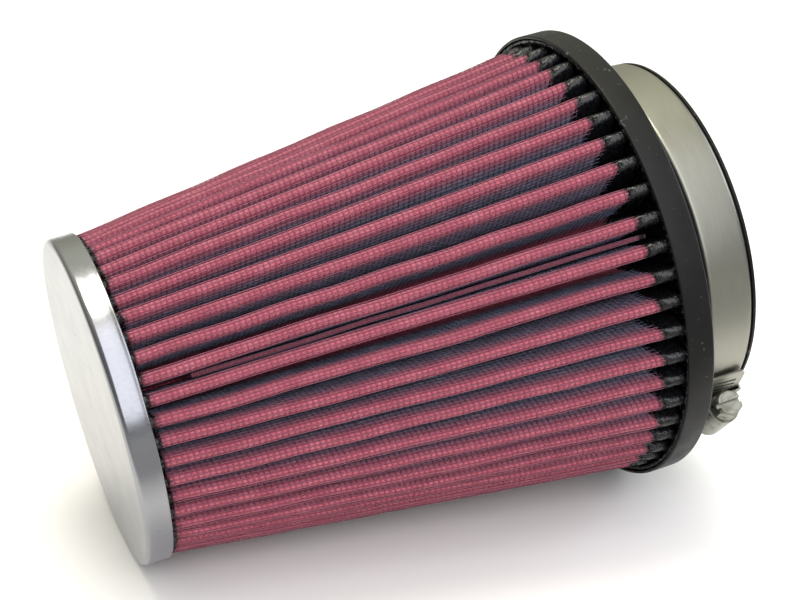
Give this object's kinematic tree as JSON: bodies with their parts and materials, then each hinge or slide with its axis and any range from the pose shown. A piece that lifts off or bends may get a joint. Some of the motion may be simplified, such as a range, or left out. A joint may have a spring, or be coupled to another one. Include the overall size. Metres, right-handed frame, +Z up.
{
  "type": "conical air filter",
  "caption": "Clamp-on conical air filter with a pleated oiled-gauze element, a pressed steel end cap, a rubber base with a round neck, and a worm-drive band clamp",
  "frame": {"origin": "on the ground, under the middle of the filter's outer box, with the filter lying on its side", "axes": "+X from the end cap to the neck along the ground, +Y away from the side with the clamp's screw, +Z up; the filter's own axis lies in the XZ plane and rises 8.31 degrees towards the neck"},
  "size_m": [0.1804, 0.1268, 0.1272],
  "materials": {
    "cap_steel": "pressed stainless steel, polished",
    "clamp_steel": "rolled stainless strip, bright",
    "screw_steel": "zinc-plated steel, satin",
    "coated_mesh": "woven aluminium wire with a dark epoxy coat",
    "oiled_cotton": "cotton gauze wetted with red filter oil",
    "sealant": "poured sealant, glossy",
    "rubber": "moulded rubber, satin"
  },
  "bodies": {
    "filter": {"end_cap": "cap_steel", "cap_potting": "sealant", "outer_screen": "coated_mesh", "gauze_ply_1": "oiled_cotton", "gauze_ply_2": "oiled_cotton", "gauze_ply_3": "oiled_cotton", "gauze_ply_4": "oiled_cotton", "inner_screen": "coated_mesh", "seam_strip": "oiled_cotton", "base_potting": "sealant", "rubber_base": "rubber"},
    "clamp": {"clamp_band": "clamp_steel", "clamp_saddle": "clamp_steel", "clamp_housing": "clamp_steel"},
    "band_end": {"clamp_tail": "clamp_steel"},
    "screw": {"clamp_screw": "screw_steel"}
  },
  "joints": [
    {"name": "clamp_swivel", "type": "hinge", "parent": "filter", "child": "clamp", "pos_m": [0.0756, 0, 0.06658], "axis": [0.9895, 0, 0.1445], "continuous": true},
    {"name": "screw_turn", "type": "hinge", "parent": "clamp", "child": "screw", "pos_m": [0.08145, -0.0365, 0.02647], "axis": [0.0967, 0.7431, -0.6621], "range_deg": [-1080, 2160]},
    {"name": "tail_feed", "type": "hinge", "parent": "clamp", "child": "band_end", "pos_m": [0.0756, 0, 0.06658], "axis": [-0.9895, 0, -0.1445], "range_deg": [-8, 15]}
  ],
  "couplings": [
    {"joint": "tail_feed", "follows": "screw_turn", "ratio": 0.006638}
  ]
}
